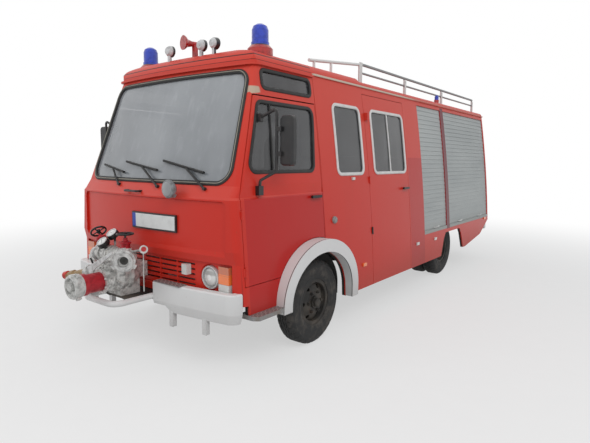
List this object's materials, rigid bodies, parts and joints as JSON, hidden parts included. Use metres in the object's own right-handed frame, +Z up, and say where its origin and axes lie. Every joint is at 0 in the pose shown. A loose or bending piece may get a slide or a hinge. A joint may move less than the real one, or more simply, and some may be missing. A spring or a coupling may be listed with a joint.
{
  "type": "light fire engine",
  "caption": "Forward-control light fire engine: red crew cab and van body, roller shutters, front-mounted pump with couplings, white wheel flares, roof rails and blue beacons.",
  "frame": {"origin": "on the ground under the middle of the vehicle's overall length and width", "axes": "+Z up, -Y towards the front, +X towards the vehicle's left"},
  "size_m": [2.5, 6.8998, 2.694],
  "materials": {
    "red_paint": "gloss enamel, weathered",
    "white_paint": "gloss enamel, chipped",
    "grey_paint": "satin",
    "black_steel": "satin, dusty",
    "cast_iron": "rough",
    "silver_slats": "satin anodised",
    "chequer_plate": "raised pattern",
    "pump_casting": "cast, weathered",
    "glass": "clear",
    "lamp_glass": "fluted",
    "amber_lens": "ribbed lens",
    "blue_lens": "ribbed dome",
    "black_plastic": "matte",
    "seat_vinyl": "vinyl",
    "tyre_rubber": "dusty"
  },
  "bodies": {
    "chassis": {"chassis_frame": "black_steel", "front_axle": "black_steel", "rear_axle": "black_steel", "leaf_springs": "black_steel", "engine_block": "cast_iron", "fuel_tank": "black_steel", "cab_shell": "red_paint", "cab_roof": "red_paint", "cab_floor": "grey_paint", "body_shell": "red_paint", "body_roof": "red_paint", "body_floor": "grey_paint", "gutters": "white_paint", "windscreen": "glass", "side_glass": "glass", "shutters": "silver_slats", "grille": "red_paint", "headlamps": "lamp_glass", "signal_lamps": "amber_lens", "front_bumper": "white_paint", "treads": "chequer_plate", "wheel_flares": "white_paint", "pump_body": "pump_casting", "pump_pipes": "pump_casting", "suction_cap": "pump_casting", "pump_controls": "black_plastic", "pump_guard": "white_paint", "wipers": "black_plastic", "searchlight": "black_plastic", "beacons": "blue_lens", "roof_horns": "red_paint", "roof_rails": "white_paint", "rear_bumper": "white_paint", "seats": "seat_vinyl", "dashboard": "black_plastic", "steering_wheel": "black_plastic"},
    "tie_rod": {"tie_rod": "black_steel"},
    "cab_door_left": {"cab_door_left": "red_paint", "cab_door_glass_left": "glass", "mirror_left": "black_plastic"},
    "crew_door_left": {"crew_door_left": "red_paint", "crew_door_glass_left": "glass"},
    "knuckle_left": {"knuckle_left": "black_steel"},
    "front_wheel_left": {"tyre_front_left": "tyre_rubber", "rim_front_left": "black_steel"},
    "rear_wheels_left": {"tyres_rear_left": "tyre_rubber", "rims_rear_left": "black_steel"},
    "cab_door_right": {"cab_door_right": "red_paint", "cab_door_glass_right": "glass", "mirror_right": "black_plastic"},
    "crew_door_right": {"crew_door_right": "red_paint", "crew_door_glass_right": "glass"},
    "knuckle_right": {"knuckle_right": "black_steel"},
    "front_wheel_right": {"tyre_front_right": "tyre_rubber", "rim_front_right": "black_steel"},
    "rear_wheels_right": {"tyres_rear_right": "tyre_rubber", "rims_rear_right": "black_steel"}
  },
  "joints": [
    {"name": "steer_left", "type": "hinge", "parent": "chassis", "child": "knuckle_left", "pos_m": [0.8, -1.78, 0.3725], "axis": [0, 0, 1], "range_deg": [-35, 35]},
    {"name": "steer_right", "type": "hinge", "parent": "chassis", "child": "knuckle_right", "pos_m": [-0.8, -1.78, 0.3725], "axis": [0, 0, 1], "range_deg": [-35, 35]},
    {"name": "tie_rod_pivot", "type": "hinge", "parent": "knuckle_left", "child": "tie_rod", "pos_m": [0.8, -1.61, 0.3065], "axis": [0, 0, 1], "range_deg": [-35, 35]},
    {"name": "front_wheel_left_spin", "type": "hinge", "parent": "knuckle_left", "child": "front_wheel_left", "pos_m": [0.96, -1.78, 0.3725], "axis": [1, 0, 0], "continuous": true},
    {"name": "rear_wheels_left_spin", "type": "hinge", "parent": "chassis", "child": "rear_wheels_left", "pos_m": [0.743, 1.54, 0.3725], "axis": [1, 0, 0], "continuous": true},
    {"name": "front_wheel_right_spin", "type": "hinge", "parent": "knuckle_right", "child": "front_wheel_right", "pos_m": [-0.96, -1.78, 0.3725], "axis": [1, 0, 0], "continuous": true},
    {"name": "rear_wheels_right_spin", "type": "hinge", "parent": "chassis", "child": "rear_wheels_right", "pos_m": [-0.743, 1.54, 0.3725], "axis": [1, 0, 0], "continuous": true},
    {"name": "cab_door_left_hinge", "type": "hinge", "parent": "chassis", "child": "cab_door_left", "pos_m": [1.03204, -2.68, 1], "axis": [0.084, 0, -0.9965], "range_deg": [0, 70]},
    {"name": "crew_door_left_hinge", "type": "hinge", "parent": "chassis", "child": "crew_door_left", "pos_m": [1.01873, -0.762, 1.15], "axis": [0.0928, 0, -0.9957], "range_deg": [0, 80]},
    {"name": "cab_door_right_hinge", "type": "hinge", "parent": "chassis", "child": "cab_door_right", "pos_m": [-1.03204, -2.68, 1], "axis": [0.084, 0, 0.9965], "range_deg": [0, 70]},
    {"name": "crew_door_right_hinge", "type": "hinge", "parent": "chassis", "child": "crew_door_right", "pos_m": [-1.01873, -0.762, 1.15], "axis": [0.0928, 0, 0.9957], "range_deg": [0, 80]}
  ],
  "couplings": [
    {"joint": "steer_right", "follows": "steer_left", "ratio": 1},
    {"joint": "tie_rod_pivot", "follows": "steer_left", "ratio": -1}
  ]
}
